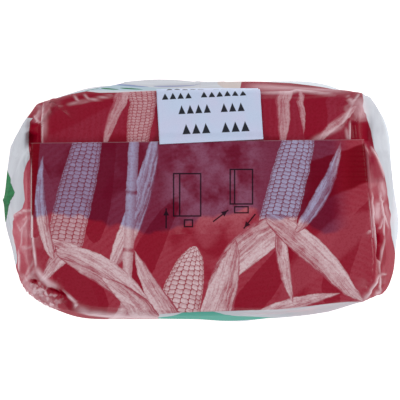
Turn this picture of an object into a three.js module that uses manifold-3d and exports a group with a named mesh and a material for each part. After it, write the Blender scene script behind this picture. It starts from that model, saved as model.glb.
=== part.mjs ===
// A bag of cornmeal: a film bag filled to a soft block, standing on its folded base. The film is sealed
// across the top, and the sealed fin lies folded back over the top, held by a paper label that runs over
// the back edge. Millimetres, +Z up. X runs along the fin and -Y is the front. The origin lies on the
// floor, under the middle of the bag.

import * as THREE from "three";
import { mergeVertices } from "three/addons/utils/BufferGeometryUtils.js";
import Module from "manifold-3d";

// The filled bag
const HEIGHT = 178; // floor to the film in the middle of the top
const TOP_WIDTH = 101;
const TOP_DEPTH = 67;
const BELLY_WIDTH = 120.8;
const BELLY_DEPTH = 72.2;
const BASE_WIDTH = 107;
const BASE_DEPTH = 66;
const BELLY_AT = 0.46; // share of the height where the bag is widest
const EDGE_RADIUS = 4.5; // round of the film over the long top edges and the base
const CREASE_RADIUS = 1.3; // round of the creases at the two ends of the top
const CROWN = 2.2; // rise of the top from its edges to its middle

// Squareness of the plan outline: the exponent of its superellipse, higher for sharper corners
const SQUARENESS = {
  backLeft: { base: 6, belly: 2.6, top: 6 },
  backRight: { base: 6, belly: 3.5, top: 8 },
  frontLeft: { base: 6, belly: 4.6, top: 3.1 },
  frontRight: { base: 6, belly: 4.9, top: 6.5 },
};
const TOP_SPLAY = 3; // how far the front right corner of the top leans out

// Side tucks, where the gussets fold in under the fin's ends
const TUCK_DEPTH = 6;
const TUCK_DROP = 4.5; // how far the top dips into a tuck
const TUCK_HALF_WIDTH = 6.5;
const TUCK_AT = 19.5; // distance behind the middle at the top
const TUCK_FOOT = 4; // distance behind the middle at its lower end
const TUCK_LENGTH = 52; // how far a tuck runs down the side

// Slack film: shallow dents down the walls
const DENT_DEPTH = 0.5;
const DENTS_ROUND = 7;
const DENTS_UP = 11;

// The sealed fin, folded back over the top
const FIN_WIDTH = 98.8;
const FIN_THICKNESS = 1.3;
const FIN_STEP = 1.1; // how far the fin stands above the film that it lies on
const FIN_ROOT = -10.5; // where the fin leaves the front film
const FIN_LEAD = 5; // length over which the film behind it falls away
const FIN_EDGE = 17.4; // its free edge
const FIN_SLANT = 1.4; // how much further back the free edge is at its right end
const FIN_SINK = 0.4; // how far its root lies under the front film, so that the two meet cleanly
const FIN_DROOP = 0.7; // how far its two ends hang over the tucks

// The paper label, stuck over the fin's free edge and the back edge
const LABEL_WIDTH = 31;
const LABEL_AT = 3.4; // its middle, right of the bag's middle
const LABEL_FRONT = 17; // its front end
const LABEL_SLANT = 1.5; // how much further back the front end is at its right corner
const LABEL_DROP = 26; // how far it runs down the back
const LABEL_THICKNESS = 0.5;
const LABEL_GAP = 0.35;
const LABEL_RAMP = 3; // length over which it comes down from the fin

// Cells of the skin, fin and label
const SKIN_CELLS = { across: 32, deep: 22, up: 26, edge: 3 };
const FIN_CELLS = { across: 24, along: 8 };
const LABEL_CELLS = { across: 8, along: 24 };

const { lerp, smoothstep, clamp } = THREE.MathUtils;
const EDGE_SHARE = SKIN_CELLS.edge / SKIN_CELLS.up;

// A size that swells from the base to the belly and draws in over the shoulder to the top.
function swelling(share, base, belly, top) {
  const rising = Math.sin((Math.PI / 2) * clamp(share / BELLY_AT, 0, 1));
  const closing = clamp((share - BELLY_AT) / (1 - BELLY_AT), 0, 1) ** 3;
  return lerp(lerp(base, belly, rising), top, closing);
}

// The outline's squareness at a height, which differs from corner to corner.
function squareness(across, deep, share) {
  const corner = (deep > 0 ? "back" : "front") + (across < 0 ? "Left" : "Right");
  const { base, belly, top } = SQUARENESS[corner];
  return swelling(share, base, belly, top);
}

// How much a point takes part in the tuck at its side: 1 in the tuck's fold at the top edge.
function tuckShare(across, y, share) {
  const rise = smoothstep(share, 1 - TUCK_LENGTH / HEIGHT, 1);
  const fold = lerp(TUCK_FOOT, TUCK_AT, rise);
  return Math.abs(across) ** 6 * rise ** 1.5 * Math.exp(-(((y - fold) / TUCK_HALF_WIDTH) ** 2));
}

// A point of the plan outline at a share of the height. Across and deep run from -1 to 1 over the square
// that the outline is shaped from, and inset draws the outline in.
function outlinePoint(across, deep, share, inset) {
  const reach = Math.max(Math.abs(across), Math.abs(deep)) || 1;
  const power = squareness(across, deep, share);
  const rounding = Math.abs(across / reach) ** power + Math.abs(deep / reach) ** power;
  const toEdge = Math.max(rounding, 1) ** (-1 / power);
  const halfWidth = swelling(share, BASE_WIDTH, BELLY_WIDTH, TOP_WIDTH) / 2 - inset;
  const halfDepth = swelling(share, BASE_DEPTH, BELLY_DEPTH, TOP_DEPTH) / 2 - inset;
  const y = deep * halfDepth * toEdge;
  const splay = across > 0 ? -TOP_SPLAY * deep * across * share ** 4 : 0;
  const tuck = Math.sign(across) * TUCK_DEPTH * tuckShare(across, y, share);
  return new THREE.Vector2(across * halfWidth * toEdge + splay - tuck, y);
}

// How far the top has fallen away from its middle.
function crownFall(x, y) {
  return CROWN * (1 - (1 - ((2 * x) / TOP_WIDTH) ** 4) * (1 - ((2 * y) / TOP_DEPTH) ** 4));
}

// Height of the film on top: level with the fin in front of the fin's root, a step lower behind it.
function topHeight(across, { x, y }) {
  const step = FIN_STEP * smoothstep(y, FIN_ROOT, FIN_ROOT + FIN_LEAD);
  return HEIGHT - crownFall(x, y) - step - TUCK_DROP * tuckShare(across, y, 1);
}

// Slack of the film at a place on the wall, gone at the top and the base.
function dent(across, deep, share) {
  const around = Math.atan2(deep, across);
  const rightward = Math.sin(DENTS_ROUND * around + DENTS_UP * share);
  const leftward = Math.sin((DENTS_ROUND + 2) * around - DENTS_UP * share);
  return DENT_DEPTH * Math.sin(Math.PI * share) * (rightward + leftward);
}

// Round of the edge between the top and the wall: a crease at the two ends, softer along the front and back.
function topRadius(across, deep) {
  const reach = Math.max(Math.abs(across), Math.abs(deep)) || 1;
  return lerp(EDGE_RADIUS, CREASE_RADIUS, smoothstep((Math.abs(across) - Math.abs(deep)) / reach, 0, 0.35));
}

// A point on the bag's skin. The arguments run from -1 to 1 over the cube that the bag is shaped from.
function skinPoint(across, deep, up) {
  const radius = topRadius(across, deep);
  const onTop = outlinePoint(across, deep, 1, radius);
  const edgeHeight = topHeight(across, onTop);
  if (up >= 1) return new THREE.Vector3(onTop.x, onTop.y, edgeHeight);
  if (up <= -1) {
    const onBase = outlinePoint(across, deep, 0, EDGE_RADIUS);
    return new THREE.Vector3(onBase.x, onBase.y, 0);
  }
  const rise = (up + 1) / 2;
  const topTurn = (Math.PI / 2) * clamp((rise - 1 + EDGE_SHARE) / EDGE_SHARE, 0, 1);
  const baseTurn = (Math.PI / 2) * clamp((EDGE_SHARE - rise) / EDGE_SHARE, 0, 1);
  const alongWall = clamp((rise - EDGE_SHARE) / (1 - 2 * EDGE_SHARE), 0, 1);
  const wallHeight = lerp(EDGE_RADIUS, edgeHeight - radius, alongWall);
  const z = wallHeight + radius * Math.sin(topTurn) - EDGE_RADIUS * Math.sin(baseTurn);
  const share = z / edgeHeight;
  const turnInset = radius * (1 - Math.cos(topTurn)) + EDGE_RADIUS * (1 - Math.cos(baseTurn));
  const at = outlinePoint(across, deep, share, turnInset + dent(across, deep, share));
  return new THREE.Vector3(at.x, at.y, z);
}

// A point of the fin's slab. Its face is level with the front film and its back sinks into the top.
function finPoint(across, along, up) {
  const x = (across * FIN_WIDTH) / 2;
  const reach = (along + 1) / 2;
  const y = lerp(FIN_ROOT, FIN_EDGE + (FIN_SLANT * across) / 2, reach);
  const droop = lerp(FIN_SINK, FIN_DROOP * across ** 8, reach);
  const face = HEIGHT - crownFall(x, y) - droop;
  return new THREE.Vector3(x, y, up > 0 ? face : face - FIN_THICKNESS);
}

// A point of the back half of the skin at a given x. Run goes back over the top to 1 at the back edge, and
// on from there down the back.
function backSkinPoint(x, run) {
  const at = (across) => (run < 1 ? skinPoint(across, run, 1) : skinPoint(across, 1, 2 - run));
  let across = (2 * x) / TOP_WIDTH;
  for (let pass = 0; pass < 4; pass++) across += (2 * (x - at(across).x)) / BELLY_WIDTH;
  return at(across);
}

// A point of the label, which follows the skin with a small gap and steps up over the fin's free edge.
function labelPoint(across, along, up) {
  const x = LABEL_AT + (across * LABEL_WIDTH) / 2;
  const front = (LABEL_FRONT + (LABEL_SLANT * across) / 2) / (TOP_DEPTH / 2 - EDGE_RADIUS);
  const wallRun = (2 * (1 - 2 * EDGE_SHARE) * LABEL_DROP) / (HEIGHT - 2 * EDGE_RADIUS);
  const run = lerp(front, 1 + 2 * EDGE_SHARE + wallRun, (along + 1) / 2);
  const nudge = 0.01;
  const point = backSkinPoint(x, run);
  const sideways = backSkinPoint(x + 1, run).sub(backSkinPoint(x - 1, run));
  const onward = backSkinPoint(x, run + nudge).sub(backSkinPoint(x, run - nudge));
  const outward = sideways.cross(onward).normalize();
  const onFin = 1 - smoothstep(point.y, FIN_EDGE + LABEL_GAP, FIN_EDGE + LABEL_GAP + LABEL_RAMP);
  const lift = LABEL_GAP + (run < 1 ? FIN_STEP * onFin : 0);
  return point.addScaledVector(outward, up > 0 ? lift + LABEL_THICKNESS : lift);
}

// A box whose corners run from -1 to 1, with each vertex moved to where place puts it.
function shapedBox(cellsX, cellsY, cellsZ, place) {
  const box = new THREE.BoxGeometry(2, 2, 2, cellsX, cellsY, cellsZ);
  box.deleteAttribute("normal");
  box.deleteAttribute("uv");
  const geometry = mergeVertices(box);
  const position = geometry.getAttribute("position");
  for (let i = 0; i < position.count; i++) {
    const point = place(position.getX(i), position.getY(i), position.getZ(i));
    position.setXYZ(i, point.x, point.y, point.z);
  }
  return geometry;
}

const wasm = await Module();
wasm.setup();

function solidOf(geometry) {
  const vertProperties = new Float32Array(geometry.getAttribute("position").array);
  const triVerts = new Uint32Array(geometry.index.array);
  return new wasm.Manifold(new wasm.Mesh({ numProp: 3, vertProperties, triVerts }));
}

function geometryOf(solid) {
  const { vertProperties, triVerts } = solid.getMesh();
  const geometry = new THREE.BufferGeometry();
  geometry.setAttribute("position", new THREE.BufferAttribute(vertProperties, 3));
  geometry.setIndex(new THREE.BufferAttribute(triVerts, 1));
  geometry.computeVertexNormals();
  return geometry;
}

// The filled bag with its fin is one piece of film, so the two are one solid.
function makeBag() {
  const skin = shapedBox(SKIN_CELLS.across, SKIN_CELLS.deep, SKIN_CELLS.up, skinPoint);
  const fin = shapedBox(FIN_CELLS.across, FIN_CELLS.along, 1, finPoint);
  const film = new THREE.MeshStandardMaterial({ color: 0x94343f, roughness: 0.35, metalness: 0 });
  const mesh = new THREE.Mesh(geometryOf(solidOf(skin).add(solidOf(fin))), film);
  mesh.name = "bag";
  return mesh;
}

function makeLabel() {
  const paper = new THREE.MeshStandardMaterial({ color: 0xdfe3ee, roughness: 0.6, metalness: 0 });
  const mesh = new THREE.Mesh(shapedBox(LABEL_CELLS.across, LABEL_CELLS.along, 1, labelPoint), paper);
  mesh.name = "label";
  return mesh;
}

// The bag stands over the origin by the middle of its box.
function makeCornmealBag() {
  const group = new THREE.Group();
  group.add(makeBag(), makeLabel());
  const box = new THREE.Box3().setFromObject(group);
  const middle = box.getCenter(new THREE.Vector3());
  for (const mesh of group.children) mesh.position.set(-middle.x, -middle.y, -box.min.z);
  return group;
}

export default makeCornmealBag();
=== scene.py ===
import math
from functools import reduce

import bpy
import numpy as np
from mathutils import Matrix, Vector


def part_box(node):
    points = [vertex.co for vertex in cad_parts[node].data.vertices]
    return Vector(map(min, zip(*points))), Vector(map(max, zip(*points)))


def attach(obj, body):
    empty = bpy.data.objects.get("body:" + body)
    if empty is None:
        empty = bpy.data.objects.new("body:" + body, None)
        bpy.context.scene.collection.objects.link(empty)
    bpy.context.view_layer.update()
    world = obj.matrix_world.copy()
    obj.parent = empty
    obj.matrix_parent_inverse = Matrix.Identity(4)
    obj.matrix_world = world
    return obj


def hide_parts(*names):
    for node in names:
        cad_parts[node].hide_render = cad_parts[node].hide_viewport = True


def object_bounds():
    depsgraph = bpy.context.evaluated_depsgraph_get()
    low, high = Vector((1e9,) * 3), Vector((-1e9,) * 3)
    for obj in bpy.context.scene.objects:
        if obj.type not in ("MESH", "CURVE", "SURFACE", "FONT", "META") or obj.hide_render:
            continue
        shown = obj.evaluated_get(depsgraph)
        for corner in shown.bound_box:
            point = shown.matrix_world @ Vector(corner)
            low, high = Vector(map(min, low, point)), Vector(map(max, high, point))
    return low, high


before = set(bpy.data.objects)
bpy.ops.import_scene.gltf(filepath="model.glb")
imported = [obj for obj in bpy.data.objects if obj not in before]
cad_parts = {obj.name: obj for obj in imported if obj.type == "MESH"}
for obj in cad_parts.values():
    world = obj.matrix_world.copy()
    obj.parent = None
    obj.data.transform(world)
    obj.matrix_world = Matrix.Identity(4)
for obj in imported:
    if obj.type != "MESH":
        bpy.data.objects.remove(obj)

cad_low, cad_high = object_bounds()

# The filled bag: a tube of printed plastic film, folded shut at its base and packed tight with meal, so
# that it stands as a soft block. The film is pulled tight over the top, creased at the two ends, tucked in
# at the sides and crushed at the front left corner. Lengths here are in millimetres.
MM = 0.001
HEIGHT = 178.0
TOP_WIDTH, TOP_DEPTH = 101.0, 67.0
BELLY_WIDTH, BELLY_DEPTH = 123.0, 73.4
BASE_WIDTH, BASE_DEPTH = 107.0, 66.0
BELLY_AT = 0.46
EDGE_RADIUS, TOP_EDGE_RADIUS, CREASE_RADIUS = 4.5, 3.2, 1.3
CROWN = 2.2
TOP_SPLAY_FRONT, TOP_SPLAY_BACK, TOP_BACK_SET = 4.2, 0.2, 0.7
# How the corners splay and how square they are: back left, back right, front left, front right.
BELLY_SPLAY = (5.8, 7.1, 7.3, 1.2)
SPLAY_POWER = (0.65, 1.55, 0.8, 1.0)
SQUARENESS = {"base": (6.0, 6.0, 6.0, 6.0), "belly": (7.0, 5.6, 4.7, 4.8), "top": (28.0, 21.0, 5.3, 5.0)}
# Corners that are cut off: the way each cut faces, its distance from the middle at the top, how fast that
# grows down the wall, and the most that it grows.
CUTS = {
    "front left": ((-0.666, -0.746), 48.7, 92.0, 7.6),
    "front right": ((0.178, -0.984), 37.3, 60.0, 0.9),
    "front right end": ((0.311, -0.95), 41.7, 8.6, 3.4),
    "back left": ((-0.23, 0.973), 39.6, 4.0, 4.5),
    "back left end": ((-0.82, 0.57), 54.2, 31.0, 4.7),
}
TUCK_DEPTH, TUCK_DROP = 3.2, 1.2
TUCK_HALF_WIDTH, TUCK_LENGTH = 8.0, 52.0
TUCK_AT, TUCK_FOOT = 23.5, 6.0
DENT_DEPTH, DENTS_ROUND, DENTS_UP = 0.5, 7, 11
FIN_ROOT, FIN_LEAD, FIN_STEP = -10.5, 5.0, 1.1
BASE_HOLLOW = 0.9
CELLS_ACROSS, CELLS_DEEP, END_DENSITY = 204, 138, 0.55
EDGE_ROWS, WALL_ROWS, WALL_ROW_GROWTH = 7, 70, 2.0
BASE_ROWS, BASE_RINGS = 6, 6


def smooth_step(value, low, high):
    share = np.clip((value - low) / (high - low), 0, 1)
    return share * share * (3 - 2 * share)


def swelling(share, base, belly, top, upright=False):
    """A size from the base to the top, by way of the belly. An upright wall swells only further down."""
    rising = np.sin(np.pi / 2 * np.clip(share / BELLY_AT, 0, 1))
    up = np.clip((share - BELLY_AT) / (1 - BELLY_AT), 0, 1)
    closing = np.where(upright, up**3 * (up * (6 * up - 15) + 10), up**3)
    full = base + (belly - base) * rising
    return full + (top - full) * closing


def by_corner(across, deep, values):
    back_left, back_right, front_left, front_right = values
    back = np.where(across < 0, back_left, back_right)
    front = np.where(across < 0, front_left, front_right)
    return np.where(deep > 0, back, front)


def squareness(across, deep, share):
    return swelling(share, *(by_corner(across, deep, corners) for corners in SQUARENESS.values()))


def tuck_share(across, y, share):
    rise = smooth_step(share, 1 - TUCK_LENGTH / HEIGHT, 1)
    fold = TUCK_FOOT + (TUCK_AT - TUCK_FOOT) * rise
    return np.abs(across) ** 6 * rise**1.5 * np.exp(-(((y - fold) / TUCK_HALF_WIDTH) ** 4))


def outline(across, deep, share, inset):
    """Where a point of a level section lies: a box with rounded corners, cut off a little at each."""
    reach = np.maximum(np.maximum(np.abs(across), np.abs(deep)), 1e-9)
    power = squareness(across, deep, share)
    rounding = np.abs(across / reach) ** power + np.abs(deep / reach) ** power
    to_edge = np.maximum(rounding, 1) ** (-1 / power)
    half_width = (swelling(share, BASE_WIDTH, BELLY_WIDTH, TOP_WIDTH) / 2 - inset) * to_edge
    top_depth = TOP_DEPTH - 2 * TOP_BACK_SET * (deep > 0)
    half_depth = (swelling(share, BASE_DEPTH, BELLY_DEPTH, top_depth, deep > 0) / 2 - inset) * to_edge
    cut = 1.0
    for (way_x, way_y), at_top, growth, most in CUTS.values():
        toward = across / reach * half_width * way_x + deep / reach * half_depth * way_y
        limit = at_top + np.minimum(growth * (1 - share), most) - inset
        cut = np.minimum(cut, limit / np.maximum(toward, 1e-9))
    y = deep * half_depth * cut
    end_splay = np.where(deep > 0, TOP_SPLAY_BACK, TOP_SPLAY_FRONT)
    top_splay = np.where(across > 0, end_splay * deep * across * share**4, 0)
    splay_run = np.abs(deep) ** by_corner(across, deep, SPLAY_POWER) * across
    belly_splay = by_corner(across, deep, BELLY_SPLAY) * splay_run * np.sin(np.pi * share)
    tuck = np.sign(across) * TUCK_DEPTH * tuck_share(across, y, share)
    return across * half_width * cut - top_splay - belly_splay - tuck, y


def crown_fall(x, y):
    return CROWN * (1 - (1 - (2 * x / TOP_WIDTH) ** 4) * (1 - (2 * y / TOP_DEPTH) ** 4))


def top_radius(across, deep):
    reach = np.maximum(np.maximum(np.abs(across), np.abs(deep)), 1e-9)
    at_end = smooth_step((np.abs(across) - np.abs(deep)) / reach, 0, 0.35)
    return TOP_EDGE_RADIUS + (CREASE_RADIUS - TOP_EDGE_RADIUS) * at_end


def top_film(across, deep):
    """The film of the top, which falls away under the fin."""
    x, y = outline(across, deep, 1.0, top_radius(across, deep))
    step = FIN_STEP * smooth_step(y, FIN_ROOT + 1, FIN_ROOT + 1 + FIN_LEAD)
    z = HEIGHT - crown_fall(x, y) - step - TUCK_DROP * tuck_share(across, y, 1.0)
    return np.stack([x, y, z], axis=-1)


def wall_film(across, deep, top_turn, along, base_turn):
    """The film of the wall: round the top edge, along the wall from 0 to 1, and round the base edge."""
    radius = top_radius(across, deep)
    edge = top_film(across, deep)[..., 2]
    level = edge - radius + (EDGE_RADIUS - edge + radius) * along
    z = level + radius * np.sin(top_turn) - EDGE_RADIUS * np.sin(base_turn)
    share = z / edge
    around = np.arctan2(deep, across)
    rightward = np.sin(DENTS_ROUND * around + DENTS_UP * share)
    leftward = np.sin((DENTS_ROUND + 2) * around - DENTS_UP * share)
    dent = DENT_DEPTH * np.sin(np.pi * share) * (rightward + leftward)
    turn = radius * (1 - np.cos(top_turn)) + EDGE_RADIUS * (1 - np.cos(base_turn))
    x, y = outline(across, deep, share, turn + dent)
    return np.stack([x, y, z], axis=-1)


def grid_quads(index):
    corners = [index[:-1, :-1], index[:-1, 1:], index[1:, 1:], index[1:, :-1]]
    return np.stack(corners, axis=-1).reshape(-1, 4)


def grid_rim(index):
    return np.concatenate([index[0, :-1], index[:-1, -1], index[-1, :0:-1], index[:0:-1, 0]])


def mesh_piece(name, points, faces):
    """A new mesh object from points in millimetres, in the frame."""
    mesh = bpy.data.meshes.new(name)
    mesh.from_pydata((points * MM).tolist(), [], faces)
    mesh.shade_smooth()
    piece = bpy.data.objects.new(name, mesh)
    bpy.context.scene.collection.objects.link(piece)
    return piece


def way_along(rows):
    """How far each point lies from its place in the first row, measured over the rows between."""
    steps = np.linalg.norm(np.diff(rows, axis=0), axis=-1)
    return np.concatenate([np.zeros((1, rows.shape[1])), np.cumsum(steps, axis=0)])


def dense_to_ends(cells):
    """Places from -1 to 1 that lie closer together towards both ends, where the film is creased."""
    even = np.linspace(-1, 1, cells + 1)
    return (1 - END_DENSITY) * even + END_DENSITY * np.sin(np.pi / 2 * even)


deep, across = np.meshgrid(dense_to_ends(CELLS_DEEP), dense_to_ends(CELLS_ACROSS), indexing="ij")
top = top_film(across, deep).reshape(-1, 3)
top_index = np.arange(len(top)).reshape(deep.shape)
rim = grid_rim(top_index)
rim_across, rim_deep = across.ravel()[rim], deep.ravel()[rim]

quarter = np.pi / 2
rows = [(quarter * (1 - step / EDGE_ROWS), 0.0, 0.0) for step in range(1, EDGE_ROWS)]
rows += [(0.0, along, 0.0) for along in np.linspace(0, 1, WALL_ROWS + 1) ** WALL_ROW_GROWTH]
rows += [(0.0, 1.0, quarter * step / BASE_ROWS) for step in range(1, BASE_ROWS + 1)]
wall = np.stack([wall_film(rim_across, rim_deep, *row) for row in rows])

shrink = 1 - np.arange(1, BASE_RINGS)[:, None, None] / BASE_RINGS
base = wall[-1] * shrink * [1, 1, 0] + [0, 0, BASE_HOLLOW]
rings = np.concatenate([top[rim][None], wall, base])
ring_index = np.arange(len(rings) * len(rim)).reshape(len(rings), len(rim)) + len(top) - len(rim)
ring_index[0] = rim
nearer, further = ring_index[:-1], ring_index[1:]
ring_corners = [nearer, further, np.roll(further, -1, 1), np.roll(nearer, -1, 1)]
ring_quads = np.stack(ring_corners, axis=-1).reshape(-1, 4)
points = np.concatenate([top, rings[1:].reshape(-1, 3), [[0.0, 0.0, BASE_HOLLOW]]])
last_ring = ring_index[-1]
base_middle = np.full(len(last_ring), len(points) - 1)
base_fan = np.stack([last_ring, base_middle, np.roll(last_ring, -1)], axis=-1)
bag_faces = grid_quads(top_index).tolist() + ring_quads.tolist() + base_fan.tolist()

cad_bag_low, cad_bag_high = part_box("bag")
cad_middle = np.array((cad_bag_low + cad_bag_high) / 2) / MM
form_middle = (points.max(axis=0) + points.min(axis=0)) / 2
in_frame = (cad_middle - form_middle) * [1, 1, 0]
bag = mesh_piece("bag_film", points + in_frame, bag_faces)

# Where each point lies on the film laid out flat: the top as it is, and the wall running on outward from it.
rim_points = points[rim]
tangent = np.roll(rim_points, -1, 0) - np.roll(rim_points, 1, 0)
outward = np.stack([tangent[:, 1], -tangent[:, 0]], axis=-1)
outward /= np.linalg.norm(outward, axis=1, keepdims=True)
down_wall = way_along(points[ring_index])
flat = np.concatenate([points[:, :2], np.zeros((len(points), 1))], axis=1)
for axis in (0, 1):
    flat[ring_index, axis] = rim_points[None, :, axis] + outward[None, :, axis] * down_wall
flat[ring_index, 2] = down_wall
inside_rim = np.zeros(len(points))
inside_rim[: len(top)] = np.minimum((1 - abs(across)) * TOP_WIDTH, (1 - abs(deep)) * TOP_DEPTH).ravel() / 2

# Creases of the film: points across and deep, height of the ridge, half width, paleness of stretched film
# with a painted glint.
CREASES = {
    "back left end": (((-46.4, 29.4), (-46.7, 16.8)), 0.5, 0.35, 0.9),
    "back left end band": (((-45.8, 28.0), (-46.0, 19.0)), 0.1, 0.8, 0.3),
    "back left corner": (((-47.4, 27.4), (-48.2, 25.8), (-49.1, 24.2)), 0.3, 0.7, 0.55),
    "back left corner line": (((-49.5, 25.6), (-47.8, 23.5)), 0.3, 0.35, 0.9),
    "back left corner foot": (((-49.0, 23.5), (-47.0, 23.2)), 0.3, 0.5, 0.5),
    "back edge left": (((-39.1, 28.9), (-35.3, 29.4), (-25.8, 31.6)), 0.3, 0.35, 0.6),
    "back edge left pleat": (((-37.2, 31.4), (-35.9, 29.6)), 0.3, 0.35, 0.7),
    "back edge left pleat 2": (((-34.2, 31.8), (-32.9, 30.2)), 0.3, 0.35, 0.6),
    "back edge right": (((17.8, 32.2), (26.7, 32.3), (28.8, 33.0), (40.0, 31.7)), 0.3, 0.45, 0.8),
    "back edge right band": (((15.0, 34.6), (29.6, 34.0), (44.4, 32.8)), 0.2, 1.1, 0.5),
    "back right cross": (((43.5, 31.7), (45.0, 29.2), (44.1, 26.4), (41.7, 22.9)), 0.4, 0.4, 0.75),
    "back right cross 2": (((47.1, 32.0), (45.0, 29.2)), 0.4, 0.4, 0.8),
    "back right corner": (((46.6, 31.0), (47.6, 27.5), (48.4, 24.6)), 0.2, 2.1, 0.55),
    "back right fold": (((42.0, 22.4), (33.2, 18.3)), 0.2, 0.7, 0.5),
    "back right end": (((44.4, 23.7), (44.2, 17.8)), 0.5, 0.35, 0.8),
    "back right end wedge": (((43.2, 21.7), (43.8, 18.4)), 0.1, 0.5, 0.5),
    "left pouch middle": (((-52.5, -5.0), (-52.0, -11.0)), 0.1, 2.0, 0.3),
    "left edge": (((-49.7, -0.4), (-49.6, -3.2)), 0.2, 0.35, 0.9),
    "left edge lower": (((-49.5, -4.0), (-49.4, -11.2), (-49.0, -14.4), (-48.4, -19.4)), 0.3, 0.35, 1.1),
    "left pouch top": (((-56.5, -4.8), (-54.4, -3.6), (-52.3, -2.7), (-49.7, -2.6)), 0.4, 0.4, 0.8),
    "left pouch fork": (((-54.8, -6.6), (-53.3, -8.6), (-51.8, -7.1), (-50.4, -4.1)), 0.3, 0.45, 0.6),
    "left pouch bar": (((-53.0, -5.5), (-51.0, -4.3)), 0.2, 0.4, 0.5),
    "left pouch fall": (((-51.8, -6.9), (-52.7, -10.0), (-53.2, -13.7)), 0.3, 0.4, 0.6),
    "left pouch foot": (((-53.4, -13.6), (-49.4, -13.4)), 0.3, 0.55, 0.5),
    "left pouch outer": (((-53.8, -14.4), (-53.7, -20.6)), 0.3, 0.35, 1.0),
    "left pouch low": (((-49.1, -17.3), (-52.0, -22.8)), 0.3, 0.5, 0.4),
    "left corner out": (((-48.6, -20.0), (-50.8, -22.6), (-52.7, -24.4)), 0.4, 0.7, 0.6),
    "left corner in": (((-48.5, -19.5), (-46.8, -22.0), (-44.7, -24.0), (-42.0, -25.2)), 0.5, 0.9, 0.9),
    "left corner front": (((-40.6, -26.1), (-38.8, -27.6), (-36.1, -30.5)), 0.4, 0.35, 0.9),
    "left corner glint": (((-37.0, -30.2), (-36.3, -30.9)), 0.2, 0.6, 1.0),
    "left corner slack": (((-52.0, -23.6), (-50.0, -26.6), (-47.6, -29.0)), 0.1, 1.9, 0.5),
    "left corner bubbles": (((-47.6, -27.6), (-43.4, -30.4)), 0.1, 1.3, 0.45),
    "front edge left": (((-36.1, -31.5), (-32.9, -33.3), (-26.4, -34.0), (-13.1, -34.5)), 0.2, 1.2, 1.0),
    "front edge right": (
        ((11.9, -32.9), (24.0, -32.6), (34.1, -31.3), (42.9, -30.1), (47.9, -29.4)), 0.3, 0.35, 0.85),
    "front edge right band": (((27.0, -33.2), (35.5, -32.2), (45.9, -30.7)), 0.1, 0.9, 0.5),
    "right edge": (((49.2, 17.0), (50.4, 2.8)), 0.2, 0.35, 0.2),
    "right shoulder upper": (((50.9, 16.1), (52.2, 14.0), (54.4, 9.3), (55.2, 7.2)), 0.3, 0.35, 1.0),
    "right shoulder patch": (((54.0, 6.3), (55.4, 1.0)), 0.2, 1.1, 0.55),
    "right shoulder band": (((55.4, 0.5), (51.8, -1.2)), 0.3, 0.45, 0.6),
    "right shoulder long": (
        ((53.5, 2.8), (54.2, -1.6), (54.9, -4.0), (56.1, -6.5), (57.0, -8.3)), 0.4, 0.35, 1.1),
    "right shoulder outer": (((55.6, -1.0), (57.2, -6.0)), 0.1, 0.9, 0.45),
    "right shoulder fork": (((54.9, -4.3), (54.9, -8.9), (55.2, -10.4)), 0.3, 0.3, 0.9),
    "right shoulder inner": (((52.6, -0.6), (52.9, -5.4)), 0.2, 1.2, 0.65),
    "right pocket wedge": (((51.2, -7.7), (49.5, -9.2)), 0.2, 0.5, 0.55),
    "right pocket lip": (((52.2, -8.6), (53.7, -7.7), (54.7, -4.8)), 0.3, 0.3, 0.7),
    "right pocket inner": (
        ((50.9, 2.8), (51.2, -6.5), (52.2, -13.1), (52.8, -16.8), (53.3, -21.2)), 0.5, 0.32, 0.95),
    "right pocket outer": (((55.2, -10.9), (53.9, -15.0), (53.2, -18.2)), 0.4, 0.5, 0.6),
    "right corner in": (((53.4, -21.4), (50.5, -26.1), (48.1, -29.3)), 0.5, 0.4, 0.95),
    "right corner down": (((53.4, -21.4), (53.7, -26.1), (54.2, -26.8)), 0.4, 0.35, 0.9),
    "right corner out": (((53.5, -21.5), (55.9, -21.9)), 0.3, 0.35, 0.5),
    "right corner foot": (((52.2, -27.6), (54.2, -26.9)), 0.3, 0.8, 0.65),
    "right corner fan": (((50.0, -27.2), (48.6, -28.8)), 0.2, 0.9, 0.5),
}
# Pinched folds that run into the bag: points across and deep, depth, half width.
PINCHES = {
    "right pocket slit": (((52.5, -7.2), (52.8, -12.0), (53.0, -17.0)), 2.6, 0.5),
    "right pocket": (((53.6, -9.4), (53.5, -12.5)), 1.6, 0.8),
    "left corner hole": (((-49.6, -23.4), (-48.6, -24.0)), 0.9, 0.6),
    "left corner slit": (((-45.0, -25.6), (-43.0, -26.4), (-39.6, -27.6)), 1.0, 0.5),
}
# The hollows of the two tucks: range across, range deep, depth, and the darkness of the painted shade in
# there.
HOLLOWS = {
    "left tuck": ((-50.8, -46.9), (16.4, 23.2), 0.8, 0.9),
    "left tuck foot": ((-50.4, -48.2), (16.4, 20.0), 0.8, 0.6),
    "right tuck": ((44.7, 50.2), (18.0, 23.5), 0.8, 0.7),
}
# Where the film is crumpled into facets: middle across and deep, reach, depth, size of the facets, strength
# of their painted light and shade.
CRUMPLES = {
    "front left corner": ((-50.8, -25.8), 3.4, 0.3, 0.8, 1.0),
    "front left edge": ((-45.5, -28.6), 4.4, 0.35, 1.1, 1.0),
    "front left edge fine": ((-47.5, -27.5), 6.0, 0.15, 0.6, 0.4),
    "left pouch": ((-53.0, -9.0), 7.0, 0.3, 3.0, 0.4),
    "left wall": ((-52.5, -20.0), 6.0, 0.2, 3.4, 0.25),
    "right shoulder": ((54.5, -2.0), 8.0, 0.3, 3.0, 0.4),
    "front right corner": ((52.0, -25.0), 6.0, 0.3, 3.0, 0.1),
    "back right corner": ((47.0, 28.0), 5.0, 0.3, 2.2, 0.5),
    "back left corner": ((-46.0, 29.5), 4.0, 0.2, 2.2, 0.25),
}
FACET_SHARPNESS, FACETS_REACH, FACETS_INWARD = 10.0, 80.0, 4.0
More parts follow.
